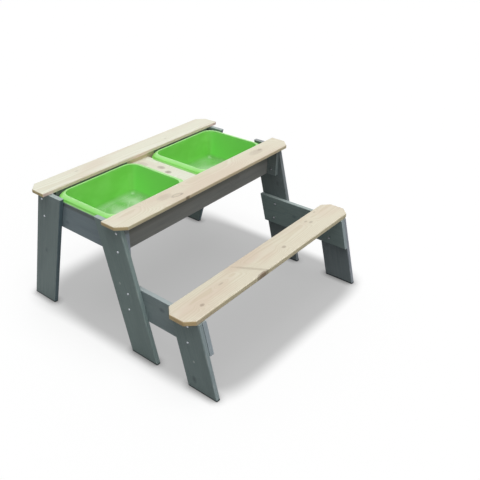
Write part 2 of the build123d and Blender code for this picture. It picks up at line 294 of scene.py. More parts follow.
    def waver(self, place: Feed, stretch: Triple) -> NodeSocket:
        """Noise that goes as far below zero as above it."""
        return self.minus(self.noise(place, stretch), self.NOISE_MIDDLE)

    def mix(self, share: Feed, first: Feed, second: Feed, blend: str = "MIX") -> NodeSocket:
        """Mix two colours.

        Args:
            share: How much of the second colour is used.
            first: First colour.
            second: Second colour.
            blend: The blending mode.

        Returns:
            The socket that holds the mixed colour.
        """
        made = self.node("ShaderNodeMix", data_type="RGBA", blend_type=blend)
        inputs = {socket.identifier: socket for socket in made.inputs}
        self.feed(inputs["Factor_Float"], share)
        self.feed(inputs["A_Color"], first)
        self.feed(inputs["B_Color"], second)
        return next(socket for socket in made.outputs if socket.identifier == "Result_Color")

    def cover(self, under: Feed, upper: Feed, mask: Feed, share: float) -> NodeSocket:
        """Lay a share of an upper colour on one under it, where a mask shows it."""
        return self.mix(self.times(mask, share), under, upper)

    def tinted(self, colour: Feed, tint: Feed, share: Feed = 1.0) -> NodeSocket:
        """Multiply a colour by a tint, wholly or in part."""
        return self.mix(share, colour, tint, "MULTIPLY")

    def group(self, tree: NodeTree, **inputs: Feed) -> Sockets:
        """Place a node group.

        Args:
            tree: The group's own tree.
            **inputs: Values for its inputs, by their names with underscores for spaces.

        Returns:
            Its outputs by their names.
        """
        made = self.node("ShaderNodeGroup", node_tree=tree)
        for name, value in inputs.items():
            self.feed(made.inputs[name.replace("_", " ").title()], value)
        return {socket.name: socket for socket in made.outputs}

    def coat(self, shader: Node, colour: Feed, roughness: Feed) -> None:
        """Give a shader its colour and its roughness."""
        self.feed(shader.inputs["Base Color"], colour)
        self.feed(shader.inputs["Roughness"], roughness)

    def emboss(self, shader: Node, height: Feed, strength: float, depth: float) -> None:
        """Give a shader a fine relief.

        Args:
            shader: The shader.
            height: How high the surface stands.
            strength: How much of the relief shows.
            depth: Metres that a height of one stands for.
        """
        bump = self.node("ShaderNodeBump")
        bump.inputs["Strength"].default_value = strength
        bump.inputs["Distance"].default_value = depth
        self.feed(bump.inputs["Height"], height)
        self.feed(shader.inputs["Normal"], bump.outputs["Normal"])


Recipe = Callable[[ShaderSheet, Sockets], tuple[NodeSocket, ...]]


class GroupLibrary:
    """Builds each shared shader effect once and hands it to every material."""

    VECTOR = "NodeSocketVector"
    NUMBER = "NodeSocketFloat"

    # WAVES are per metre along each axis, TURNS are radians, and other pairs are ranges over
    # which an effect comes in
    RING_WAVES = (2.0, 14.0, 14.0)
    RING_WANDER = 0.014
    RING_DARKENS = (0.25, 0.88)
    RING_ENDS = (0.9, 1.0)
    FIBRE_WAVES = (9.0, 520.0, 520.0)
    BLOTCH_WAVES = (3.0, 11.0, 11.0)

    KNOT_WAVES = (90.0, 90.0, 40.0)
    KNOT_RAGGED = 0.5
    KNOT_CORE_ENDS = (0.55, 1.0)
    KNOT_RING_STARTS = (0.6, 0.95)
    KNOT_RING_ENDS = (1.0, 1.5)
    SWIRL_FALL = -0.16

    WEAR_WAVES = (28.0, 60.0, 60.0)
    WEAR_SHOWS = (0.45, 0.7)

    SKIN_WAVES = (700.0, 700.0, 700.0)
    FLOW_WAVES = (9.0, 9.0, 16.0)

    STREAK_WAVES = (14.0, 420.0, 420.0)
    STREAK_TURNS = (0.5, -0.75)
    STREAK_SHOWS = (0.6, 0.78)
    SPOT_WAVES = (120.0, 120.0, 120.0)
    SPOT_SHOWS = (0.5, 0.75)

    def __init__(self) -> None:
        """Build all the effects."""
        vector, number = self.VECTOR, self.NUMBER
        place = {"Place": vector}
        board = place | {"Shift": vector, "Pith": vector, "Ring Width": number, "Swirl": number}
        eye = place | {"Centre": vector, "Size": vector, "Turn": number}
        edge = place | {"Half Size": vector, "Reach": number}
        self.grain = self._build("board grain", board, ("Late Wood", "Fibre", "Blotch"), self._grain)
        self.knot = self._build("knot", eye, ("Core", "Ring", "Swirl"), self._knot)
        self.edges = self._build("edge wear", edge, ("Worn",), self._edges)
        self.moulding = self._build("moulded skin", place, ("Skin", "Flow"), self._moulding)
        self.scratches = self._build("rubbed streaks", place, ("Streak", "Spot"), self._scratches)

    def _build(
        self, name: str, inputs: dict[str, str], outputs: tuple[str, ...], recipe: Recipe
    ) -> NodeTree:
        """Build one effect as a node group.

        Args:
            name: The group's name.
            inputs: Input names and their socket kinds.
            outputs: Output names, all plain numbers.
            recipe: Works out the outputs, in that order, from the inputs.

        Returns:
            The group's tree.
        """
        tree = bpy.data.node_groups.new(name, "ShaderNodeTree")
        for label, kind in inputs.items():
            tree.interface.new_socket(label, in_out="INPUT", socket_type=kind)
        for label in outputs:
            tree.interface.new_socket(label, in_out="OUTPUT", socket_type=self.NUMBER)
        sheet = ShaderSheet(tree)
        given = sheet.node("NodeGroupInput").outputs
        out = sheet.node("NodeGroupOutput").inputs
        results = recipe(sheet, {label: given[label] for label in inputs})
        for label, result in zip(outputs, results):
            sheet.feed(out[label], result)
        return tree

    def _grain(self, sheet: ShaderSheet, given: Sockets) -> tuple[NodeSocket, ...]:
        """Grow rings round a pith that runs along the board, with fibres and soft blotches.

        Args:
            sheet: The group's sheet.
            given: The group's inputs.

        Returns:
            How dark the ring is, the fibres and the blotches.
        """
        seeded = sheet.vector("ADD", given["Place"], given["Shift"])
        place, pith = sheet.split(given["Place"]), sheet.split(given["Pith"])
        lean = sheet.times(place["X"], pith["X"])
        across = sheet.minus(sheet.minus(place["Y"], pith["Y"]), lean)
        radius = sheet.math("SQRT", sheet.squares(across, sheet.minus(place["Z"], pith["Z"])))
        wander = sheet.times(sheet.waver(seeded, self.RING_WAVES), self.RING_WANDER)
        radius = sheet.plus(sheet.plus(radius, wander), given["Swirl"])
        year = sheet.math("FRACT", sheet.over(radius, given["Ring Width"]))
        dark = sheet.minus(sheet.rise(year, *self.RING_DARKENS), sheet.rise(year, *self.RING_ENDS))
        fibre = sheet.noise(seeded, self.FIBRE_WAVES, detail=4.0)
        return dark, fibre, sheet.noise(seeded, self.BLOTCH_WAVES, detail=3.0)

    def _knot(self, sheet: ShaderSheet, given: Sockets) -> tuple[NodeSocket, ...]:
        """Put one knot through the board's thickness, with the swirl that it gives the grain.

        Args:
            sheet: The group's sheet.
            given: The group's inputs.

        Returns:
            The knot's core, the dark ring round it and the swirl.
        """
        off = sheet.turned(sheet.vector("SUBTRACT", given["Place"], given["Centre"]), given["Turn"])
        flat = sheet.vector("MULTIPLY", off, (1.0, 1.0, 0.0))
        reach = sheet.vector("LENGTH", sheet.vector("DIVIDE", flat, given["Size"]))
        ragged = sheet.times(sheet.waver(given["Place"], self.KNOT_WAVES), self.KNOT_RAGGED)
        reach = sheet.plus(reach, ragged)
        core = sheet.minus(1.0, sheet.rise(reach, *self.KNOT_CORE_ENDS))
        starts = sheet.rise(reach, *self.KNOT_RING_STARTS)
        ring = sheet.minus(starts, sheet.rise(reach, *self.KNOT_RING_ENDS))
        fall = sheet.times(sheet.times(reach, reach), self.SWIRL_FALL)
        return core, ring, sheet.math("EXPONENT", fall)

    def _edges(self, sheet: ShaderSheet, given: Sockets) -> tuple[NodeSocket, ...]:
        """Find the long edges of a board, broken up as handling wears them.

        Args:
            sheet: The group's sheet.
            given: The group's inputs.

        Returns:
            How worn the place is.
        """
        from_middle = sheet.vector("ABSOLUTE", given["Place"])
        inset = sheet.split(sheet.vector("SUBTRACT", given["Half Size"], from_middle))
        near = []
        for axis in "YZ":
            near.append(sheet.math("SUBTRACT", 1.0, sheet.over(inset[axis], given["Reach"]), clamp=True))
        patches = sheet.rise(sheet.noise(given["Place"], self.WEAR_WAVES, detail=4.0), *self.WEAR_SHOWS)
        return (sheet.times(sheet.times(*near), patches),)

    def _moulding(self, sheet: ShaderSheet, given: Sockets) -> tuple[NodeSocket, ...]:
        """The fine skin and the slow thickness changes of moulded plastic."""
        return sheet.noise(given["Place"], self.SKIN_WAVES), sheet.noise(given["Place"], self.FLOW_WAVES)

    def _scratches(self, sheet: ShaderSheet, given: Sockets) -> tuple[NodeSocket, ...]:
        """Rub fine streaks three ways, with dull spots.

        Args:
            sheet: The group's sheet.
            given: The group's inputs.

        Returns:
            The streaks and the spots.
        """
        place = given["Place"]
        ways = [place] + [sheet.turned(place, angle) for angle in self.STREAK_TURNS]
        along, first, second = (sheet.noise(way, self.STREAK_WAVES, detail=3.0) for way in ways)
        streak = sheet.rise(sheet.most(along, sheet.most(first, second)), *self.STREAK_SHOWS)
        return streak, sheet.rise(sheet.noise(place, self.SPOT_WAVES), *self.SPOT_SHOWS)


class Grain(Enum):
    """Which way a board's grain runs, and which way its broad face looks."""

    ALONG_PLANKS_FLAT = "along the planks, broad face up"
    ALONG_PLANKS_UPRIGHT = "along the planks, broad face to the bench"
    ACROSS_FLAT = "across the table, broad face up"
    ACROSS_UPRIGHT = "across the table, broad face to the ends"
    UP_TO_REAR = "up a leg that leans to the rear"
    UP_TO_BENCH = "up a leg that leans to the bench"


@dataclass(frozen=True)
class Knot:
    """A knot that goes through a board's thickness.

    Attributes:
        spot: A point on it, in the table's own metres.
        length: Half its length along the grain.
        width: Half its width across the grain.
        depth: How dark it is, zero to one.
        turn: Degrees that it is turned out of the grain.
        heart: How much of its darkness the middle has.
    """

    spot: Triple
    length: float
    width: float
    depth: float = 0.6
    turn: float = 0.0
    heart: float = 1.0


@dataclass(frozen=True)
class Figure:
    """What shows in a board's wood.

    Attributes:
        late: How dark its rings are.
        fibre: Its fibres.
        blotch: Its soft blotches.
        core: The middles of its knots.
        ring: The dark rings round its knots.
    """

    late: NodeSocket
    fibre: NodeSocket
    blotch: NodeSocket
    core: Feed
    ring: Feed


@dataclass
class Board:
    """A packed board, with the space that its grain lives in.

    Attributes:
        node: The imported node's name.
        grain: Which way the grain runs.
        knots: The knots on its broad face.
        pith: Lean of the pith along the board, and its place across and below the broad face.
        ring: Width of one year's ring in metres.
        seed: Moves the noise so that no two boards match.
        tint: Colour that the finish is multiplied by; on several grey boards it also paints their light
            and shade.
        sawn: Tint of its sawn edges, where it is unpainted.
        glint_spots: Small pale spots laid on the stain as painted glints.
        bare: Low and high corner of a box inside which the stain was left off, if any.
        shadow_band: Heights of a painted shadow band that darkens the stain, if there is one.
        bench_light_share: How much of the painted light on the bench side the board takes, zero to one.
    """

    LEG_SPLAY = math.radians(15.3)
    LEG_WIDTH = 0.120
    # How far a knot pushes the rings aside, as a share of its size
    BULGE = 1.6
    SEED_WAY = (1.0, 1.7, -0.6)

    node: str
    grain: Grain
    knots: list[Knot] = field(default_factory=list)
    pith: Triple = (0.02, 0.012, -0.05)
    ring: float = 0.0034
    seed: float = 0.0
    tint: Colour = (1.0, 1.0, 1.0, 1.0)
    sawn: Colour = (0.90, 0.86, 0.72, 1.0)
    glint_spots: list[Knot] = field(default_factory=list)
    bare: tuple[Triple, Triple] | None = None
    shadow_band: Pair | None = None
    bench_light_share: float = 1.0

    def axes(self) -> Matrix:
        """Find the board's own axes.

        Returns:
            Columns along the grain, across it, and out of the broad face.
        """
        up, over = math.cos(self.LEG_SPLAY), math.sin(self.LEG_SPLAY)
        ways = {
            Grain.ALONG_PLANKS_FLAT: ((1, 0, 0), (0, 1, 0)),
            Grain.ALONG_PLANKS_UPRIGHT: ((1, 0, 0), (0, 0, 1)),
            Grain.ACROSS_FLAT: ((0, 1, 0), (-1, 0, 0)),
            Grain.ACROSS_UPRIGHT: ((0, -1, 0), (0, 0, 1)),
            Grain.UP_TO_REAR: ((0, over, up), (0, up, -over)),
            Grain.UP_TO_BENCH: ((0, -over, up), (0, up, over)),
        }
        along, across = (Vector(way) for way in ways[self.grain])
        return Matrix((along, across, along.cross(across))).transposed()

    def middle(self) -> Vector:
        """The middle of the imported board."""
        low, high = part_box(self.node)
        return (low + high) / 2

    def half_size(self) -> Triple:
        """Measure the board along its own axes.

        Returns:
            Half its length, width and thickness in metres.
        """
        low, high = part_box(self.node)
        size = high - low
        if self.grain in (Grain.UP_TO_REAR, Grain.UP_TO_BENCH):
            return (size.z / math.cos(self.LEG_SPLAY) / 2, self.LEG_WIDTH / 2, size.x / 2)
        axes = self.axes()
        return tuple(abs(axes.col[number].dot(size)) / 2 for number in range(3))

    def space(self, sheet: ShaderSheet) -> NodeSocket:
        """Turn places on the table into the board's own.

        Args:
            sheet: The material's sheet.

        Returns:
            The socket that holds the place in the board.
        """
        mapping = sheet.node("ShaderNodeMapping", vector_type="TEXTURE")
        sheet.feed(mapping.inputs["Vector"], sheet.spot())
        mapping.inputs["Location"].default_value = self.middle()
        mapping.inputs["Rotation"].default_value = self.axes().to_euler()
        return mapping.outputs["Vector"]

    def lay(self, knot: Knot, sheet: ShaderSheet, groups: GroupLibrary, place: NodeSocket) -> Sockets:
        """Lay one knot in the board.

        Args:
            knot: The knot.
            sheet: The material's sheet.
            groups: The shared effects.
            place: The place in the board.

        Returns:
            The knot's core, ring and swirl.
        """
        return sheet.group(
            groups.knot,
            place=place,
            centre=self.axes().transposed() @ (Vector(knot.spot) - self.middle()),
            size=(knot.length, knot.width, 1.0),
            turn=math.radians(-knot.turn),
        )

    def figure(self, sheet: ShaderSheet, groups: GroupLibrary, place: NodeSocket) -> Figure:
        """Lay the board's knots and let its rings run round them.

        Args:
            sheet: The material's sheet.
            groups: The shared effects.
            place: The place in the board.

        Returns:
            What shows in the wood.
        """
        swirl: Feed = 0.0
        core: Feed = 0.0
        ring: Feed = 0.0
        for knot in self.knots:
            laid = self.lay(knot, sheet, groups, place)
            bulge = sheet.times(laid["Swirl"], self.BULGE * (knot.length + knot.width))
            swirl = sheet.plus(swirl, bulge)
            core = sheet.most(core, sheet.times(laid["Core"], knot.depth * knot.heart))
            ring = sheet.most(ring, sheet.times(laid["Ring"], knot.depth))
        shift = tuple(way * self.seed for way in self.SEED_WAY)
        grain = sheet.group(
            groups.grain, place=place, shift=shift, pith=self.pith, ring_width=self.ring, swirl=swirl
        )
        return Figure(grain["Late Wood"], grain["Fibre"], grain["Blotch"], core, ring)


def new_material(name: str) -> tuple[Material, ShaderSheet, Node]:
    """Make an empty material with one Principled shader.

    Args:
        name: The material's name.

    Returns:
        The material, its sheet and its shader.
    """
    material = bpy.data.materials.new(name)
    material.use_nodes = True
    material.node_tree.nodes.clear()
    sheet = ShaderSheet(material.node_tree)
    shader = sheet.node("ShaderNodeBsdfPrincipled")
    output = sheet.node("ShaderNodeOutputMaterial")
    sheet.feed(output.inputs["Surface"], shader.outputs["BSDF"])
    return material, sheet, shader


def dress(piece: Object, material: Material) -> None:
    """Give a piece one material all over."""
    piece.data.materials.clear()
    piece.data.materials.append(material)


@dataclass(frozen=True)
class PaleSoftwood:
    """Planed, unpainted softwood: cream early wood, tan late wood, brown knots.

    Attributes:
        early: Colour of the pale spring growth.
        late: Colour of the darker summer growth.
        warm: Colour of the pinkish heartwood blotches.
        heart: Colour of a knot's middle.
        bark: Colour of the ring round a knot.
        end_grain: Tint of the cut ends and clipped corners.
        roughness: How matt the planed face is.
    """

    # Pairs are ranges over which an effect comes in, and RELIEF is a strength and a depth
    BLOTCH_SHOWS = (0.42, 0.68)
    LATE_SHARE = 0.42
    FIBRE_SHOWS = (0.35, 0.75)
    FIBRE_SHARE = 0.16
    BARK_SHARE = 0.55
    HEART_SHARE = 0.85
    LEVEL = (0.3, 0.85)
    CUT_END = (0.4, 0.8)
    LATE_POLISH = -0.1
    KNOT_SINKS = 0.4
    LATE_STANDS = 0.35
    RELIEF = (0.35, 0.0006)

    early: Colour = srgb(231, 225, 208)
    late: Colour = srgb(208, 194, 166)
    warm: Colour = srgb(225, 210, 194)
    heart: Colour = srgb(128, 104, 86)
    bark: Colour = srgb(104, 84, 66)
    end_grain: Colour = (0.94, 0.78, 0.50, 1.0)
    roughness: float = 0.62

    def material(self, board: Board, groups: GroupLibrary) -> Material:
        """Make this wood for one board.

        Args:
            board: The board that it goes on.
            groups: The shared effects.

        Returns:
            The finished material.
        """
        material, sheet, shader = new_material(f"softwood {board.node}")
        wood = board.figure(sheet, groups, board.space(sheet))
        colour = sheet.mix(sheet.rise(wood.blotch, *self.BLOTCH_SHOWS), self.early, self.warm)
        colour = sheet.cover(colour, self.late, wood.late, self.LATE_SHARE)
        fibre = sheet.rise(wood.fibre, *self.FIBRE_SHOWS)
        colour = sheet.cover(colour, self.late, fibre, self.FIBRE_SHARE)
        colour = sheet.cover(colour, self.bark, wood.ring, self.BARK_SHARE)
        colour = sheet.cover(colour, self.heart, wood.core, self.HEART_SHARE)
        colour = sheet.tinted(colour, board.tint)
        facing = sheet.facing()
        upright = sheet.minus(1.0, sheet.rise(sheet.unsigned(facing["Z"]), *self.LEVEL))
        along = facing["Y" if board.grain is Grain.ACROSS_FLAT else "X"]
        cut_end = sheet.rise(sheet.unsigned(along), *self.CUT_END)
        edge = sheet.tinted(colour, sheet.mix(cut_end, board.sawn, self.end_grain))
        colour = sheet.mix(upright, colour, edge)
        sheet.coat(shader, colour, sheet.line(wood.late, self.LATE_POLISH, self.roughness))
        height = sheet.minus(wood.fibre, sheet.times(wood.core, self.KNOT_SINKS))
        height = sheet.plus(height, sheet.times(wood.late, self.LATE_STANDS))
        sheet.emboss(shader, height, *self.RELIEF)
        return material


@dataclass(frozen=True)
class GreyStain:
    """Softwood under a grey garden stain that lets the grain and knots show.

    Attributes:
        body: The stain's main colour.
        thin: Colour where the stain is thin over hard late wood.
        deep: Colour over knots and in the pores.
        worn: Colour on rubbed edges, also laid as a painted highlight on the faces that look up and as
            painted glints.
        wood: Colour of the bare wood where there is no stain.
        under: Tint of the faces that look down, a painted shade.
        bench_side_light: Tint of the faces turned to the bench side, a painted light.
        foot_shade_height: Height of the painted contact shade at the bottom of the feet.
        roughness: How matt the stain is.
    """

    # Pairs are ranges over which an effect comes in, and RELIEF is a strength and a depth
    SPECULAR = 0.25
    THIN_SHARE = 0.35
    PORE_SHOWS = (0.48, 0.8)
    PORE_SHARE = 0.3
    BLOTCH_SHOWS = (0.4, 0.75)
    BLOTCH_SHARE = 0.22
    CORE_SHARE = 0.75
    RING_SHARE = 0.45
    EDGE_REACH = 0.006
    LOOKS_UP = (0.5, 0.9)
    WORN_SHARE = 0.5
    LOOKS_TO_BENCH = (-0.5, -0.8)
    NOT_BELOW = (-0.2, -0.1)
    LOOKS_DOWN = (-0.1, -0.22)
    FOOT_SHADE_EDGE = (0.6, 1.4)
    BAND_SHADE_SHARE = 0.5
    BAND_SHADE_FACING = (0.8, 0.4)
    BARE_EDGE = (-0.001, 0.001)
    BARE_PORES = 0.3
    PORE_ROUGHNESS = 0.15
    LATE_STANDS = 0.6
    FIBRE_STANDS = 0.8
    RELIEF = (0.4, 0.0006)

    body: Colour = srgb(134, 151, 150)
    thin: Colour = srgb(147, 163, 161)
    deep: Colour = srgb(88, 99, 101)
    worn: Colour = srgb(184, 194, 192)
    wood: Colour = srgb(222, 206, 170)
    under: Colour = (0.56, 0.63, 0.72, 1.0)
    bench_side_light: Colour = (1.34, 1.26, 1.33, 1.0)
    foot_shade_height: float = 0.006
    roughness: float = 0.48

    def material(self, board: Board, groups: GroupLibrary) -> Material:
        """Make this stain for one board.

        Args:
            board: The board that it goes on.
            groups: The shared effects.

        Returns:
            The finished material.
        """
        material, sheet, shader = new_material(f"grey stain {board.node}")
        shader.inputs["Specular IOR Level"].default_value = self.SPECULAR
        place, spot, facing = board.space(sheet), sheet.split(sheet.spot()), sheet.facing()
        wood = board.figure(sheet, groups, place)
        pores = sheet.rise(wood.fibre, *self.PORE_SHOWS)
        colour = self._brushed(sheet, wood, pores)
        wear = sheet.group(groups.edges, place=place, half_size=board.half_size(), reach=self.EDGE_REACH)
        # Real edge wear, plus a painted highlight that makes the faces that look up paler.
        rubbed = sheet.most(wear["Worn"], sheet.rise(facing["Z"], *self.LOOKS_UP))
        colour = sheet.cover(colour, self.worn, rubbed, self.WORN_SHARE)
        # Painted glints: small pale spots on two legs.
        for glint_spot in board.glint_spots:
            colour = sheet.mix(board.lay(glint_spot, sheet, groups, place)["Core"], colour, self.worn)
        colour = self._painted_light_and_shade(sheet, board, colour, spot, facing)
        if board.bare:
            wood_colour = sheet.mix(sheet.times(pores, self.BARE_PORES), self.wood, colour)
            colour = sheet.mix(self._unpainted(sheet, board, spot), colour, wood_colour)
        sheet.coat(shader, colour, sheet.line(pores, self.PORE_ROUGHNESS, self.roughness))
        height = sheet.minus(sheet.times(wood.late, self.LATE_STANDS), wood.core)
        height = sheet.plus(height, sheet.times(wood.fibre, self.FIBRE_STANDS))
        sheet.emboss(shader, height, *self.RELIEF)
        return material

    def _brushed(self, sheet: ShaderSheet, wood: Figure, pores: NodeSocket) -> NodeSocket:
        """Brush the stain on, so that the wood shows through.

        Args:
            sheet: The material's sheet.
            wood: What shows in the wood.
            pores: The open pores.

        Returns:
            The stain's colour when new.
        """
        colour = sheet.cover(self.body, self.thin, wood.late, self.THIN_SHARE)
        colour = sheet.cover(colour, self.deep, pores, self.PORE_SHARE)
        blotch = sheet.rise(wood.blotch, *self.BLOTCH_SHOWS)
        colour = sheet.cover(colour, self.deep, blotch, self.BLOTCH_SHARE)
        core, ring = sheet.times(wood.core, self.CORE_SHARE), sheet.times(wood.ring, self.RING_SHARE)
        return sheet.mix(sheet.most(core, ring), colour, self.deep)

    def _painted_light_and_shade(
        self, sheet: ShaderSheet, board: Board, colour: NodeSocket, spot: Sockets, facing: Sockets
    ) -> NodeSocket:
        """Paint light on the faces turned to the bench side, lay the board's tint, and paint shade on the
        faces that look down, at the feet and in shadow bands.

        Args:
            sheet: The material's sheet.
            board: The board.
            colour: The stain's colour before.
            spot: The place on the table.
            facing: The way that the surface faces.

        Returns:
            The stain's colour after.
        """
        # Painted light: the faces turned to the bench side are made paler.
        to_bench = sheet.rise(facing["Y"], *self.LOOKS_TO_BENCH)
        bench_lit = sheet.times(to_bench, sheet.rise(facing["Z"], *self.NOT_BELOW))
        colour = sheet.tinted(colour, self.bench_side_light, sheet.times(bench_lit, board.bench_light_share))
        # On several grey boards this tint is painted light and shade.
        colour = sheet.tinted(colour, board.tint)
        # Painted shade on the faces that look down.
        colour = sheet.tinted(colour, self.under, sheet.rise(facing["Z"], *self.LOOKS_DOWN))
        # Painted contact shade: the bottom of the feet is darker.
        above_foot_shade = sheet.rise(spot["Z"], *(share * self.foot_shade_height for share in self.FOOT_SHADE_EDGE))
        colour = sheet.mix(above_foot_shade, sheet.tinted(colour, self.deep), colour)
        # Painted shadow: a warm, dark band under the planks or the tubs' rims.
        if board.shadow_band:
            band_shade = sheet.times(sheet.rise(spot["Z"], *board.shadow_band), self.BAND_SHADE_SHARE)
            band_shade = sheet.times(band_shade, sheet.rise(facing["Z"], *self.BAND_SHADE_FACING))
            colour = sheet.mix(band_shade, colour, sheet.tinted(colour, self.wood))
            colour = sheet.mix(band_shade, colour, self.deep)
        return colour

    def _unpainted(self, sheet: ShaderSheet, board: Board, spot: Sockets) -> Feed:
        """Find the box in which a board was left bare.

        Args:
            sheet: The material's sheet.
            board: The board.
            spot: The place on the table.

        Returns:
            One inside the box and zero outside it.
        """
        inside: Feed = 1.0
        for axis, low, high in zip("XYZ", *board.bare):
            for edge, inward in ((low, 1.0), (high, -1.0)):
                inset = sheet.times(sheet.minus(spot[axis], edge), inward)
                inside = sheet.times(inside, sheet.rise(inset, *self.BARE_EDGE))
        return inside


@dataclass(frozen=True)
class GreenMoulding:
    """Satin green plastic from a mould, with painted light and highlights on its walls and rim, and
    painted shade and sheen on its floor.

    Attributes:
        sheen_strength: How strong the painted sheen on the floor is.
        body: The plastic's main colour.
        pale: Colour where the plastic is stretched.
        thin: Colour of the inner face of the end wall at the +X end, made paler as painted light.
        crest_highlight: Colour of the painted highlight on the rim's top and lip.
        tub_floor_shade: Colour of the floor in its painted shade.
        floor_sheen: Colour of the painted sheen, a reflection of the sky on the floor.
        floor_depth: From the rim's top down to where the painted floor shade and sheen begin.
        sheen_spot: Middle of the sheen, from the tub's middle.
        sheen_reach: How far the sheen goes each way.
        roughness: How satin the skin is.
    """

    # Pairs are ranges over which an effect comes in, and RELIEF is a strength and a depth
    STRETCH_SHOWS = (0.35, 0.7)
    END_WALL_INSET = (0.085, 0.04)
    END_WALL_FACES = (-0.65, -0.98)
    LIP_INSET = (0.0030, 0.0018)
    CREST_RISE = (-0.0070, 0.0015)
    CREST_SHARE = 0.55
    FLOOR_EDGE = (0.010, -0.012)
    SHEEN_PATCHES = (0.25, 0.75)
    SHEEN_MOST = 0.75
    STREAK_ROUGHNESS = 0.12
    RELIEF = (0.12, 0.0003)

    sheen_strength: float
    body: Colour = srgb(131, 220, 92)
    pale: Colour = srgb(145, 229, 108)
    thin: Colour = srgb(147, 242, 115)
    crest_highlight: Colour = srgb(180, 228, 158)
    tub_floor_shade: Colour = srgb(106, 178, 80)
    floor_sheen: Colour = srgb(204, 222, 196)
    floor_depth: float = 0.106
    sheen_spot: Pair = (0.060, 0.040)
    sheen_reach: Pair = (0.125, 0.065)
    roughness: float = 0.3

    def material(self, tub: str, groups: GroupLibrary) -> Material:
        """Make this plastic for one tub.

        Args:
            tub: The tub's node.
            groups: The shared effects.

        Returns:
            The finished material.
        """
        material, sheet, shader = new_material(f"green moulding {tub}")
        place = sheet.spot()
        skin = sheet.group(groups.moulding, place=place)
        streak = sheet.group(groups.scratches, place=place)["Streak"]
        low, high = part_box(tub)
        half, middle = (high - low) / 2, (low + high) / 2
        own = sheet.split(sheet.vector("SUBTRACT", place, (middle.x, middle.y, high.z)))
        colour = sheet.mix(sheet.rise(skin["Flow"], *self.STRETCH_SHOWS), self.body, self.pale)
        # Painted light: the inner face of the end wall at the tub's +X end is made paler.
        lit_end_wall = sheet.rise(own["X"], *(half.x - inset for inset in self.END_WALL_INSET))
        lit_end_wall = sheet.times(lit_end_wall, sheet.rise(sheet.facing()["X"], *self.END_WALL_FACES))
        colour = sheet.mix(lit_end_wall, colour, self.thin)
        # Painted highlight on the rim's top and on its lip.
        rubbed = sheet.rise(own["Z"], *self.CREST_RISE)
        for axis, reach in (("X", half.x), ("Y", half.y)):
            lip = sheet.rise(sheet.unsigned(own[axis]), *(reach - inset for inset in self.LIP_INSET))
            rubbed = sheet.most(rubbed, lip)
        colour = sheet.cover(colour, self.crest_highlight, rubbed, self.CREST_SHARE)
        # Painted shade: the floor is darker and greyer than the walls.
        deep = sheet.rise(own["Z"], *(edge - self.floor_depth for edge in self.FLOOR_EDGE))
        colour = sheet.mix(deep, colour, self.tub_floor_shade)
        # Painted reflection: a pale oval sheen of the sky on the floor.
        patchy = sheet.plus(sheet.rise(skin["Flow"], *self.SHEEN_PATCHES), streak)
        sheen_share = sheet.times(sheet.times(self._cloud(sheet, own), deep), sheet.times(patchy, self.sheen_strength))
        colour = sheet.mix(sheet.math("MINIMUM", sheen_share, self.SHEEN_MOST), colour, self.floor_sheen)
        sheet.coat(shader, colour, sheet.line(streak, self.STREAK_ROUGHNESS, self.roughness))
        sheet.emboss(shader, skin["Skin"], *self.RELIEF)
        return material

    def _cloud(self, sheet: ShaderSheet, own: Sockets) -> NodeSocket:
        """Shape the painted sheen as a soft oval.

        Args:
            sheet: The material's sheet.
            own: The place from the tub's middle.

        Returns:
            One in the oval's middle, falling to zero all round.
        """
        away = []
        for axis, spot, reach in zip("XY", self.sheen_spot, self.sheen_reach):
            away.append(sheet.over(sheet.minus(own[axis], spot), reach))
        return sheet.math("EXPONENT", sheet.times(sheet.squares(*away), -1.0))


@dataclass(frozen=True)
class ZincPlate:
    """Zinc plating on steel fixings.

    Attributes:
        body: The plating's colour.
        dull: Colour of its dull spots.
        roughness: How brushed it is.
    """

    DULL_ROUGHNESS = 0.2

    body: Colour = srgb(182, 186, 190)
    dull: Colour = srgb(112, 116, 120)
    roughness: float = 0.32

    def material(self, groups: GroupLibrary) -> Material:
        """Make this plating.

        Args:
            groups: The shared effects.

        Returns:
            The finished material.
        """
        material, sheet, shader = new_material("zinc plate")
        spots = sheet.group(groups.scratches, place=sheet.spot())["Spot"]
        shader.inputs["Metallic"].default_value = 1.0
        colour = sheet.mix(spots, self.body, self.dull)
        sheet.coat(shader, colour, sheet.line(spots, self.DULL_ROUGHNESS, self.roughness))
        return material


@dataclass(frozen=True)
class PhotoCamera:
    """The camera that took the picture.

    Attributes:
        azimuth: Degrees round the table, negative towards its left end.
        elevation: Degrees above the floor.
        roll: Degrees that the camera is turned about its own axis.
        distance: Metres from the point that it looks at.
        target: The point on its axis.
        focal_pixels: Focal length in picture pixels.
        axis_pixel: Where its axis meets the picture.
        picture: Width and height of the picture in pixels.
        sight: Metres that it sees.
    """

    azimuth: float = -48.268
    elevation: float = 32.768
    roll: float = -0.838
    distance: float = 2.435
    target: Triple = (-0.0007, 0.0060, 0.1137)
    focal_pixels: float = 603.7
    axis_pixel: Pair = (194.3, 263.0)
    picture: int = 480
    sight: float = 100.0

    def place(self) -> None:
        """Add the camera and make it the scene's own."""
        turn, roll = math.radians(self.azimuth), math.radians(self.roll)
        back = way_to_sky(self.azimuth, self.elevation)
        level = Vector((math.cos(turn), math.sin(turn), 0.0))
        right = math.cos(roll) * level + math.sin(roll) * back.cross(level)
        turned = Matrix((right, back.cross(right), back)).transposed().to_4x4()
        bpy.ops.object.camera_add()
        camera = bpy.context.object
        camera.name = "photo_camera"
        camera.matrix_world = Matrix.Translation(Vector(self.target) + self.distance * back) @ turned
        camera.data.sensor_fit = "HORIZONTAL"
        camera.data.lens = self.focal_pixels / self.picture * camera.data.sensor_width
        camera.data.shift_x = 0.5 - self.axis_pixel[0] / self.picture
        camera.data.shift_y = self.axis_pixel[1] / self.picture - 0.5
        camera.data.clip_end = self.sight
        bpy.context.scene.camera = camera


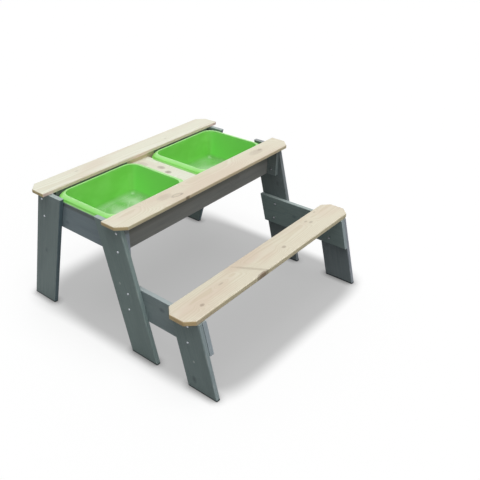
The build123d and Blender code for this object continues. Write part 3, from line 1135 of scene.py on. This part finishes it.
@dataclass(frozen=True)
class BroadLamp:
    """A far lamp that fills a wide patch of sky, so that its shadow is soft.

    Attributes:
        name: The lamp's name.
        strength: How strong it is.
        spread: Degrees of sky that it fills.
        elevation: Degrees above the floor.
        azimuth: Degrees round the table that it stands at, zero at the bench side.
    """

    name: str
    strength: float
    spread: float
    elevation: float
    azimuth: float

    def add(self) -> None:
        """Add the lamp, aimed at the table."""
        bpy.ops.object.light_add(type="SUN")
        lamp = bpy.context.object
        lamp.name = self.name
        lamp.data.energy = self.strength
        lamp.data.angle = math.radians(self.spread)
        towards = way_to_sky(self.azimuth, self.elevation)
        lamp.matrix_world = towards.to_track_quat("Z", "Y").to_matrix().to_4x4()


@dataclass(frozen=True)
class Studio:
    """A white floor under a pale sky, a broad lamp overhead and soft ones in front and behind.

    Attributes:
        floor_side: Metres along the floor's side.
        floor_glow: Share of the floor's white, as the camera sees it, that needs no lamp.
        floor_shade: How bright the floor stays in the soft shade that the table stands in.
        shade_middle: Middle of that shade.
        shade_reach: How far it goes each way from there, to its middle tone.
        shade_corner: How square its corners are.
        shade_blur: Share of its reach over which the edge fades each way, on the bench side and behind.
        blur_changes: Where along Y the one blur turns into the other.
        contact: Metres over which the floor darkens towards a foot.
        contact_depth: How strongly it darkens there.
        floor_bounce: The floor's colour as it lights the table.
        sky: How bright the sky is on the table.
        lamps: The broad lamps.
    """

    CONTACT_SAMPLES = 8

    floor_side: float = 60.0
    floor_glow: float = 0.76
    floor_shade: float = 0.545
    shade_middle: Pair = (0.0245, -0.0030)
    shade_reach: Pair = (0.4935, 0.5065)
    shade_corner: float = 7.0
    shade_blur: Pair = (0.077, 0.130)
    blur_changes: Pair = (0.1, 0.45)
    contact: float = 0.03
    contact_depth: float = 1.1
    floor_bounce: float = 0.12
    sky: float = 0.128
    lamps: tuple[BroadLamp, ...] = (
        BroadLamp("overhead_lamp", 2.07, 55.0, 84.0, 0.0),
        BroadLamp("bench_side_lamp", 0.84, 80.0, 32.0, -25.0),
        BroadLamp("rear_lamp", 0.56, 80.0, 28.0, 150.0),
    )

    def build(self) -> None:
        """Add the floor, the sky and the lamps."""
        self._floor()
        self._sky()
        for lamp in self.lamps:
            lamp.add()

    @staticmethod
    def _seen_directly(sheet: ShaderSheet) -> NodeSocket:
        """Tell what the camera sees from what only lights the table.

        Args:
            sheet: The material's or the world's sheet.

        Returns:
            One where the camera sees a surface straight, in a mirror or through glass.
        """
        path = sheet.node("ShaderNodeLightPath").outputs
        seen = sheet.most(path["Is Camera Ray"], path["Is Glossy Ray"])
        return sheet.most(seen, path["Is Transmission Ray"])

    def _shade(self, sheet: ShaderSheet) -> NodeSocket:
        """Shade the floor under the table and close to its feet.

        Args:
            sheet: The floor material's sheet.

        Returns:
            One in the open, falling to the floor's shade.
        """
        spot = sheet.split(sheet.spot())
        powers = []
        for axis, middle, reach in zip("XY", self.shade_middle, self.shade_reach):
            away = sheet.unsigned(sheet.over(sheet.minus(spot[axis], middle), reach))
            powers.append(sheet.math("POWER", away, self.shade_corner))
        away = sheet.math("POWER", sheet.plus(*powers), 1.0 / self.shade_corner)
        near_blur, far_blur = self.shade_blur
        behind = sheet.rise(spot["Y"], *self.blur_changes)
        blur = sheet.line(behind, far_blur - near_blur, near_blur)
        inside = sheet.rise(sheet.over(sheet.minus(away, 1.0), blur), 1.0, -1.0)
        shade = sheet.line(inside, self.floor_shade - 1.0, 1.0)
        near = sheet.node("ShaderNodeAmbientOcclusion", samples=self.CONTACT_SAMPLES)
        near.inputs["Distance"].default_value = self.contact
        return sheet.times(shade, sheet.math("POWER", near.outputs["AO"], self.contact_depth))

    def _floor(self) -> None:
        """Add the white floor."""
        bpy.ops.mesh.primitive_plane_add(size=self.floor_side)
        floor = bpy.context.object
        floor.name = "studio_floor"
        material, sheet, shader = new_material("white floor")
        black = grey(0.0)
        seen = self._seen_directly(sheet)
        shade = self._shade(sheet)
        lit = sheet.mix(shade, black, grey(1.0 - self.floor_glow))
        sheet.coat(shader, sheet.mix(seen, grey(self.floor_bounce), lit), 1.0)
        glow = sheet.mix(sheet.times(shade, seen), black, grey(self.floor_glow))
        sheet.feed(shader.inputs["Emission Color"], glow)
        shader.inputs["Emission Strength"].default_value = 1.0
        shader.inputs["Specular IOR Level"].default_value = 0.0
        dress(floor, material)

    def _sky(self) -> None:
        """Light the table from all round, and show a white background."""
        world = bpy.data.worlds.new("studio sky")
        bpy.context.scene.world = world
        world.use_nodes = True
        world.node_tree.nodes.clear()
        sheet = ShaderSheet(world.node_tree)
        background = sheet.node("ShaderNodeBackground")
        background.inputs["Color"].default_value = grey(1.0)
        strength = sheet.line(self._seen_directly(sheet), 1.0 - self.sky, self.sky)
        sheet.feed(background.inputs["Strength"], strength)
        output = sheet.node("ShaderNodeOutputWorld")
        sheet.feed(output.inputs["Surface"], background.outputs["Background"])


@dataclass
class Woodwork:
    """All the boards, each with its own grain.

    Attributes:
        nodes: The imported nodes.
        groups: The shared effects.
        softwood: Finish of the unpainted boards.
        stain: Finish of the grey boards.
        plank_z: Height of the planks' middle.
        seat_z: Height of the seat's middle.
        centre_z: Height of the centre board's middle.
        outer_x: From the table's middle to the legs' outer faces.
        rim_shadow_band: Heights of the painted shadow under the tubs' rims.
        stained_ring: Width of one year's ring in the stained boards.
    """

    FIRST_SEED = 20.3
    SEED_STEP = 3.7

    nodes: dict[str, Object]
    groups: GroupLibrary
    softwood: PaleSoftwood = PaleSoftwood()
    stain: GreyStain = GreyStain()
    plank_z: float = 0.504
    seat_z: float = 0.289
    centre_z: float = 0.475
    outer_x: float = 0.447
    rim_shadow_band: Pair = (0.462, 0.474)
    stained_ring: float = 0.0038

    def finish(self) -> None:
        """Dress every board."""
        for board in self._pale_boards():
            dress(self.nodes[board.node], self.softwood.material(board, self.groups))
            LOG.info("softwood on %s", board.node)
        for board in self._stained_boards():
            dress(self.nodes[board.node], self.stain.material(board, self.groups))
            LOG.info("grey stain on %s", board.node)

    def _pale_boards(self) -> list[Board]:
        """Describe the unpainted boards.

        Returns:
            The planks, the seat and the centre board.
        """
        plank, seat, centre = self.plank_z, self.seat_z, self.centre_z
        front_knots = [
            Knot((-0.177, -0.077, plank), 0.021, 0.008, 0.62, turn=-9.0, heart=0.25),
            Knot((-0.161, -0.084, plank), 0.007, 0.003, 0.5),
            Knot((-0.217, -0.055, plank), 0.026, 0.014, 0.22),
            Knot((0.329, -0.055, plank), 0.011, 0.007, 0.45),
            Knot((0.300, -0.058, plank), 0.032, 0.014, 0.24),
            Knot((-0.159, -0.111, plank), 0.009, 0.002, 0.9),
        ]
        rear_knots = [
            Knot((-0.270, 0.345, plank), 0.007, 0.004, 0.25),
            Knot((0.180, 0.318, plank), 0.006, 0.004, 0.22),
        ]
        seat_knots = [
            Knot((-0.379, -0.362, seat), 0.007, 0.005, 0.6),
            Knot((-0.250, -0.333, seat), 0.010, 0.003, 0.35),
            Knot((0.078, -0.359, seat), 0.008, 0.006, 0.55),
            Knot((0.289, -0.316, seat), 0.007, 0.004, 0.4),
            Knot((0.298, -0.334, seat), 0.009, 0.005, 0.45),
            Knot((0.377, -0.300, seat), 0.006, 0.003, 0.4),
            Knot((-0.112, -0.356, seat), 0.058, 0.006, 0.32, turn=-58.0),
            Knot((-0.110, -0.403, seat), 0.024, 0.006, 1.0),
        ]
        centre_knots = [
            Knot((0.002, 0.172, centre), 0.014, 0.010, 0.55),
            Knot((-0.012, 0.122, centre), 0.011, 0.009, 0.8),
            Knot((-0.020, 0.250, centre), 0.020, 0.012, 0.25),
        ]
        flat = Grain.ALONG_PLANKS_FLAT
        front = Board("front_top_plank", flat, front_knots, (0.016, 0.02, -0.06), 0.0036, 3.1)
        front.tint = (0.935, 0.945, 0.92, 1.0)
        rear = Board("rear_top_plank", flat, rear_knots, (-0.03, -0.03, -0.08), 0.0032, 7.7)
        rear.tint = (0.97, 1.03, 1.04, 1.0)
        rear.sawn = (1.20, 0.94, 1.02, 1.0)
        bench = Board("bench_seat", flat, seat_knots, (0.024, 0.015, -0.055), 0.004, 11.3)
        bench.tint = (0.95, 0.95, 0.925, 1.0)
        between = Board("centre_board", Grain.ACROSS_FLAT, centre_knots, seed=15.9)
        between.tint = (0.99, 1.07, 1.11, 1.0)
        return [front, rear, bench, between]

    def _stained_boards(self) -> list[Board]:
        """Describe the grey boards.

        Returns:
            The legs, rails, aprons and cleats.
        """
        ways = {
            "front_leg": Grain.UP_TO_REAR,
            "bench_leg": Grain.UP_TO_REAR,
            "rear_leg": Grain.UP_TO_BENCH,
            "end_rail": Grain.ACROSS_UPRIGHT,
            "bench_rail": Grain.ACROSS_UPRIGHT,
        }
        places = [(f"{end}_{kind}", way) for kind, way in ways.items() for end in ("left", "right")]
        for side in ("front", "rear"):
            for kind in ("apron", "board_cleat"):
                places.append((f"{side}_{kind}", Grain.ALONG_PLANKS_UPRIGHT))
        marks = self._marks()
        boards = []
        for number, (node, way) in enumerate(places):
            # Steps of different lengths spread the piths, so that no two boards match
            pith = (0.02 - 0.004 * (number % 9), 0.01 * (number % 5) - 0.02, -0.04 - 0.008 * (number % 4))
            seed = self.FIRST_SEED + self.SEED_STEP * number
            own = marks.get(node, {})
            boards.append(Board(node, way, pith=pith, ring=self.stained_ring, seed=seed, **own))
        return boards

    def _marks(self) -> dict[str, dict[str, object]]:
        """List what sets single grey boards apart.

        Returns:
            Fields of the boards, by their nodes.
        """
        left, right = -self.outer_x, self.outer_x
        # Many tints below are painted light and shade: darker on the right-hand boards, paler on the left
        # rails, and warm and dark on the aprons under the planks.
        return {
            "left_front_leg": {
                "glint_spots": [Knot((left, -0.055, 0.278), 0.006, 0.005)],
                "tint": (0.98, 1.0, 0.98, 1.0),
                "bench_light_share": 0.15,
            },
            "right_front_leg": {
                "knots": [Knot((right, -0.085, 0.337), 0.010, 0.006, 0.5)],
                "tint": (0.71, 0.66, 0.69, 1.0),
                "bench_light_share": 0.6,
            },
            "left_bench_leg": {
                "knots": [Knot((left, -0.385, 0.043), 0.012, 0.008, 0.9)],
                "glint_spots": [Knot((left, -0.384, 0.118), 0.006, 0.005)],
                "bench_light_share": 0.75,
            },
            "right_bench_leg": {"tint": (0.86, 0.79, 0.85, 1.0)},
            "left_rear_leg": {"knots": [Knot((left, 0.354, 0.248), 0.010, 0.006, 0.5)]},
            "right_rear_leg": {"knots": [Knot((right, 0.37, 0.207), 0.011, 0.007, 0.6)]},
            "left_end_rail": {
                "knots": [Knot((left, 0.220, 0.406), 0.009, 0.006, 0.6)],
                "tint": (1.13, 1.10, 1.22, 1.0),
                "shadow_band": self.rim_shadow_band,
            },
            "right_end_rail": {
                "tint": (0.84, 0.79, 0.81, 1.0),
                "shadow_band": self.rim_shadow_band,
                "bench_light_share": 0.0,
            },
            "left_bench_rail": {
                "knots": [Knot((left, -0.232, 0.239), 0.010, 0.007, 0.8)],
                "tint": (1.16, 1.12, 1.16, 1.0),
            },
            "right_bench_rail": {"knots": [Knot((right, -0.19, 0.222), 0.009, 0.006, 0.6)]},
            "front_apron": {
                "knots": [Knot((0.21, -0.040, 0.43), 0.012, 0.007, 0.4)],
                "tint": (0.88, 0.746, 0.69, 1.0),
                "shadow_band": (0.418, 0.448),
            },
            "rear_apron": {
                "knots": [
                    Knot((-0.17, 0.308, 0.42), 0.012, 0.008, 0.6),
                    Knot((0.27, 0.308, 0.45), 0.008, 0.005, 0.5),
                ],
                "tint": (0.82, 0.75, 0.69, 1.0),
                "bare": ((-0.068, 0.280, 0.470), (0.082, 0.293, 0.500)),
            },
        }


@dataclass
class PlayTubs:
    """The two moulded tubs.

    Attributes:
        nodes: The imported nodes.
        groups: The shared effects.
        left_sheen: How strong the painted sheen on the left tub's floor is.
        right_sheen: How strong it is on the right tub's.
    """

    nodes: dict[str, Object]
    groups: GroupLibrary
    left_sheen: float = 1.15
    right_sheen: float = 0.58

    def finish(self) -> None:
        """Dress both tubs, each with its own painted floor sheen."""
        for name, sheen_strength in (("left_tub", self.left_sheen), ("right_tub", self.right_sheen)):
            dress(self.nodes[name], GreenMoulding(sheen_strength).material(name, self.groups))
            LOG.info("green moulding on %s", name)


class Recess(Enum):
    """The recess that a driver fits in a fixing's head."""

    HEX = "hexagon socket"
    CROSS = "cross"


@dataclass(frozen=True)
class HeadedFixing:
    """Sizes of a round-headed bolt or screw.

    Attributes:
        radius: Half the head's width.
        height: Height of the head.
        shank: Half the shank's thickness.
        recess: What a driver fits in.
    """

    radius: float
    height: float
    shank: float
    recess: Recess


@dataclass(frozen=True)
class Seat:
    """Where a fixing sits on the wood.

    Attributes:
        spot: The middle of its head's underside, or of a nut's flat face.
        out: The way that the head or the nut's dome faces.
        reach: How far it goes into the wood.
    """

    spot: Vector
    out: Vector
    reach: float = 0.0

    def matrix(self) -> Matrix:
        """Move a fixing that is modelled head up at the origin to this seat."""
        return Matrix.Translation(self.spot) @ self.out.to_track_quat("Z", "Y").to_matrix().to_4x4()


class PackedSolids:
    """Reads where the loose solids of a packed fixings node sit."""

    DECIMALS = 5
    WIDEST = 0.98

    def __init__(self, node: Object) -> None:
        """Gather the node's loose solids, each as its points.

        Args:
            node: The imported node.
        """
        mesh = node.data
        owner: dict[Triple, Triple] = {}

        def root(point: Triple) -> Triple:
            """Find the point that stands for a solid.

            Args:
                point: Any point of the solid.

            Returns:
                The one that stands for it.
            """
            while owner.setdefault(point, point) != point:
                point = owner[point]
            return point

        points = [tuple(round(value, self.DECIMALS) for value in vertex.co) for vertex in mesh.vertices]
        for face in mesh.polygons:
            first, *others = (points[index] for index in face.vertices)
            for other in others:
                owner[root(other)] = root(first)
        solids: dict[Triple, list[Vector]] = {}
        for point in list(owner):
            solids.setdefault(root(point), []).append(Vector(point))
        self.solids = list(solids.values())

    @staticmethod
    def _box(points: list[Vector]) -> tuple[Vector, Vector]:
        """The lowest and highest corner round some points."""
        low, high = (Vector(pick(axis) for axis in zip(*points)) for pick in (min, max))
        return low, high

    def screw_seats(self) -> list[Seat]:
        """Seat bolts and screws by the widest ring of each.

        Returns:
            One seat for each loose solid.
        """
        seats = []
        for points in self.solids:
            low, high = self._box(points)
            middle, size = (low + high) / 2, high - low
            axis = max(range(3), key=lambda number: size[number])
            line = Vector((0.0, 0.0, 0.0))
            line[axis] = 1.0
            widths = [((point - middle) - line * (point - middle).dot(line)).length for point in points]
            widest = self.WIDEST * max(widths)
            ring = [point[axis] for point, width in zip(points, widths) if width > widest]
            spot = middle.copy()
            spot[axis] = sum(ring) / len(ring)
            out = line if spot[axis] > middle[axis] else -line
            reach = spot[axis] - low[axis] if out[axis] > 0 else high[axis] - spot[axis]
            seats.append(Seat(spot, out, reach))
        return seats

    def nut_seats(self) -> list[Seat]:
        """Seat nuts whose domes face the middle of the table.

        Returns:
            One seat for each loose solid.
        """
        seats = []
        for points in self.solids:
            low, high = self._box(points)
            spot = (low + high) / 2
            way = -1.0 if spot.x > 0 else 1.0
            spot.x = low.x if way > 0 else high.x
            seats.append(Seat(spot, Vector((way, 0.0, 0.0))))
        return seats


@dataclass
class Fixings:
    """The bolts, nuts, screws and brackets.

    Attributes:
        nodes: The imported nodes.
        groups: The shared effects.
        bright: Plating of the bolts and screws.
        aged: Plating of the nuts, the brackets and the hidden screws.
        bolt: Sizes of a bolt.
        screw: Sizes of a screw.
        nut_radius: From a nut's middle to its corners.
        nut_height: Height of a nut with its dome.
    """

    HEAD_SIDES = 24
    ROUND_STEPS = 4
    HEX_SIDES = 6
    CAP_SIDES = 20
    SAME_HEIGHT = 1e-6
    RECESS_CLEAR = 0.0002
    SMOOTH_BELOW = math.radians(32.0)

    # Shares of a head's or a nut's own height or radius
    HEAD_ROUND = 0.8
    RECESS_DEPTH = 0.62
    SOCKET_WIDTH = 0.5
    CROSS_LENGTH = 1.25
    CROSS_WIDTH = 0.24
    NUT_FLAT = 0.55
    NUT_BEVEL = 0.12
    CAP_WIDTH = 0.72
    CAP_SINK = 0.9

    nodes: dict[str, Object]
    groups: GroupLibrary
    bright: ZincPlate = ZincPlate()
    aged: ZincPlate = ZincPlate(srgb(128, 132, 135), srgb(92, 96, 99), 0.45)
    bolt: HeadedFixing = HeadedFixing(0.00425, 0.0022, 0.003, Recess.HEX)
    screw: HeadedFixing = HeadedFixing(0.004, 0.0022, 0.002, Recess.CROSS)
    nut_radius: float = 0.0057
    nut_height: float = 0.0055

    def finish(self) -> None:
        """Model the visible fixings again, and dress all of them."""
        bright = self.bright.material(self.groups)
        aged = self.aged.material(self.groups)
        self._replace_headed("leg_bolts", self.bolt, bright)
        nut_seats = PackedSolids(self.nodes["leg_bolt_nuts"]).nut_seats()
        self._set_out("leg_bolt_nuts", self._cap_nut(), nut_seats, aged)
        for name in ("bracket_screws", "cleat_screws"):
            self._replace_headed(name, self.screw, bright)
        for name in ("apron_screws", "plank_brackets", "seat_brackets"):
            dress(self.nodes[name], aged)
            LOG.info("zinc plate on %s", name)

    def _replace_headed(self, name: str, kind: HeadedFixing, finish: Material) -> None:
        """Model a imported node's bolts or screws again.

        Args:
            name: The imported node.
            kind: Sizes of one of them.
            finish: Their finish.
        """
        seats = PackedSolids(self.nodes[name]).screw_seats()
        self._set_out(name, self._headed(kind, seats[0].reach), seats, finish)

    def _pick(self, piece: Object, upward: bool) -> None:
        """Open a piece in edit mode with only its top or bottom face selected.

        Args:
            piece: The piece.
            upward: Whether the top is picked, or else the bottom.
        """
        bpy.context.tool_settings.mesh_select_mode = (False, False, True)
        heights = [face.center.z for face in piece.data.polygons]
        wanted = max(heights) if upward else min(heights)
        for part in (*piece.data.vertices, *piece.data.edges):
            part.select = False
        for face, height in zip(piece.data.polygons, heights):
            face.select = abs(height - wanted) < self.SAME_HEIGHT
        bpy.ops.object.mode_set(mode="EDIT")

    @staticmethod
    def _prism(sides: int, radius: float, height: float, middle: float) -> Object:
        """Add an upright prism on the Z axis.

        Args:
            sides: How many sides it has.
            radius: From its axis to its corners.
            height: Its height.
            middle: Height of its middle.

        Returns:
            The prism.
        """
        bpy.ops.mesh.primitive_cylinder_add(
            vertices=sides, radius=radius, depth=height, location=(0.0, 0.0, middle)
        )
        return bpy.context.object

    @staticmethod
    def _cut(piece: Object, cutter: Object) -> None:
        """Cut one shape out of another and remove the cutter.

        Args:
            piece: The piece that is cut.
            cutter: The shape that is taken out of it.
        """
        modifier = piece.modifiers.new("recess", "BOOLEAN")
        modifier.operation = "DIFFERENCE"
        modifier.solver = "EXACT"
        modifier.object = cutter
        bpy.context.view_layer.objects.active = piece
        bpy.ops.object.modifier_apply(modifier=modifier.name)
        bpy.data.objects.remove(cutter, do_unlink=True)

    def _headed(self, kind: HeadedFixing, reach: float) -> Object:
        """Model a round-headed bolt or screw, head up, its head's underside at the origin.

        Args:
            kind: Its sizes.
            reach: The shank's length.

        Returns:
            The fixing.
        """
        radius, height = kind.radius, kind.height
        bpy.ops.object.select_all(action="DESELECT")
        piece = self._prism(self.HEAD_SIDES, radius, height, height / 2)
        bpy.ops.object.transform_apply()
        self._pick(piece, upward=False)
        bpy.ops.mesh.inset(thickness=radius - kind.shank)
        bpy.ops.mesh.extrude_region_move(TRANSFORM_OT_translate={"value": (0.0, 0.0, -reach)})
        bpy.ops.object.mode_set(mode="OBJECT")
        self._pick(piece, upward=True)
        bpy.ops.mesh.bevel(offset=self.HEAD_ROUND * height, segments=self.ROUND_STEPS, profile=0.5)
        bpy.ops.object.mode_set(mode="OBJECT")
        deep = self.RECESS_DEPTH * height
        middle = height - deep / 2 + self.RECESS_CLEAR
        if kind.recess is Recess.HEX:
            self._cut(piece, self._prism(self.HEX_SIDES, self.SOCKET_WIDTH * radius, deep, middle))
        else:
            for turn in (0.0, math.pi / 2):
                bpy.ops.mesh.primitive_cube_add(size=1.0, location=(0, 0, middle), rotation=(0, 0, turn))
                arm = bpy.context.object
                arm.scale = (self.CROSS_LENGTH * radius, self.CROSS_WIDTH * radius, deep)
                bpy.context.view_layer.update()
                self._cut(piece, arm)
        return piece

    def _cap_nut(self) -> Object:
        """Model a hexagon nut with a domed cap, its flat face at the origin.

        Returns:
            The nut.
        """
        flat = self.NUT_FLAT * self.nut_height
        cap = self.CAP_WIDTH * self.nut_radius
        bpy.ops.object.select_all(action="DESELECT")
        nut = self._prism(self.HEX_SIDES, self.nut_radius, flat, flat / 2)
        bpy.ops.object.transform_apply()
        self._pick(nut, upward=True)
        bpy.ops.mesh.bevel(offset=self.NUT_BEVEL * self.nut_radius, segments=2)
        bpy.ops.object.mode_set(mode="OBJECT")
        bpy.ops.mesh.primitive_uv_sphere_add(
            segments=self.CAP_SIDES, ring_count=self.CAP_SIDES // 2, radius=cap, location=(0.0, 0.0, flat)
        )
        bpy.context.object.scale.z = (self.nut_height - flat) / cap
        bpy.ops.object.transform_apply()
        bpy.ops.object.mode_set(mode="EDIT")
        bpy.ops.mesh.select_all(action="SELECT")
        bpy.ops.mesh.bisect(
            plane_co=(0.0, 0.0, self.CAP_SINK * flat),
            plane_no=(0.0, 0.0, 1.0),
            use_fill=True,
            clear_inner=True,
        )
        bpy.ops.object.mode_set(mode="OBJECT")
        nut.select_set(True)
        bpy.context.view_layer.objects.active = nut
        bpy.ops.object.join()
        return nut

    def _set_out(self, name: str, model: Object, seats: list[Seat], finish: Material) -> None:
        """Copy a fixing to all its seats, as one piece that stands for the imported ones.

        Args:
            name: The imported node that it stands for.
            model: The fixing, modelled at the origin.
            seats: Where the copies go.
            finish: Their finish.
        """
        bpy.ops.object.select_all(action="DESELECT")
        for seat in seats:
            copy = model.copy()
            copy.data = model.data.copy()
            bpy.context.collection.objects.link(copy)
            copy.matrix_world = seat.matrix()
            copy.select_set(True)
            bpy.context.view_layer.objects.active = copy
        bpy.data.objects.remove(model, do_unlink=True)
        bpy.ops.object.join()
        piece = bpy.context.object
        bpy.ops.object.transform_apply()
        bpy.ops.object.shade_smooth_by_angle(angle=self.SMOOTH_BELOW)
        piece.name = f"{name}_detailed"
        dress(piece, finish)
        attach(piece, "frame")
        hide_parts(name)
        LOG.info("%s: %d copies", piece.name, len(seats))


def main() -> None:
    """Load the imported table, dress it, light it and aim the camera."""
    logging.basicConfig(level=logging.INFO, format="%(name)s: %(message)s")
    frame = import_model()
    bpy.ops.object.select_all(action="DESELECT")
    bpy.context.scene.view_settings.view_transform = "Standard"
    groups = GroupLibrary()
    nodes = frame["nodes"]
    Woodwork(nodes, groups).finish()
    PlayTubs(nodes, groups).finish()
    Fixings(nodes, groups).finish()
    Studio().build()
    PhotoCamera().place()


if __name__ == "__main__":
    main()
